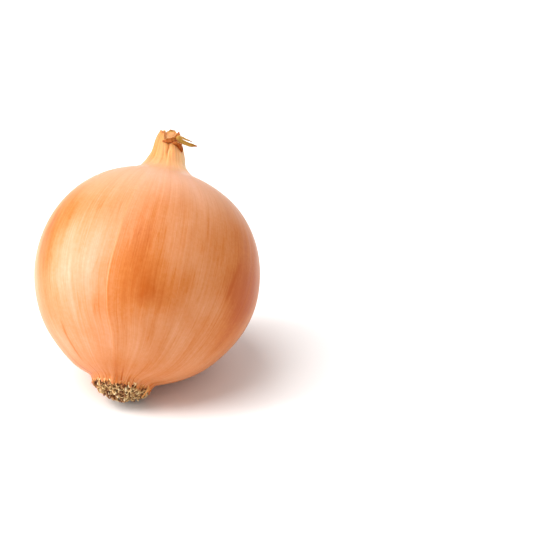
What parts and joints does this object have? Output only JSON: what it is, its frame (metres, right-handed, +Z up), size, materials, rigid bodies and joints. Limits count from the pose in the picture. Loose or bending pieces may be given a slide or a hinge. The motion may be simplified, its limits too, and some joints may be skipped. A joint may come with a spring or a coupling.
{
  "type": "onion",
  "caption": "Whole brown onion: a round bulb in dry veined skin with a papery neck, torn leaf ends and a plate of trimmed roots, lying on its side.",
  "frame": {"origin": "middle of the small flat spot under the belly that the onion rests on", "axes": "+Z up; the neck leans 39 degrees from +Z towards +Y, and the root plate faces down towards -Y"},
  "size_m": [0.0764, 0.0761, 0.0787],
  "materials": {
    "onion_skin": "satin",
    "dry_root": "matt",
    "dry_leaf": "matt"
  },
  "bodies": {
    "root": {"bulb": "onion_skin", "root_plate": "dry_root", "leaf_ends": "dry_leaf"}
  },
  "joints": []
}
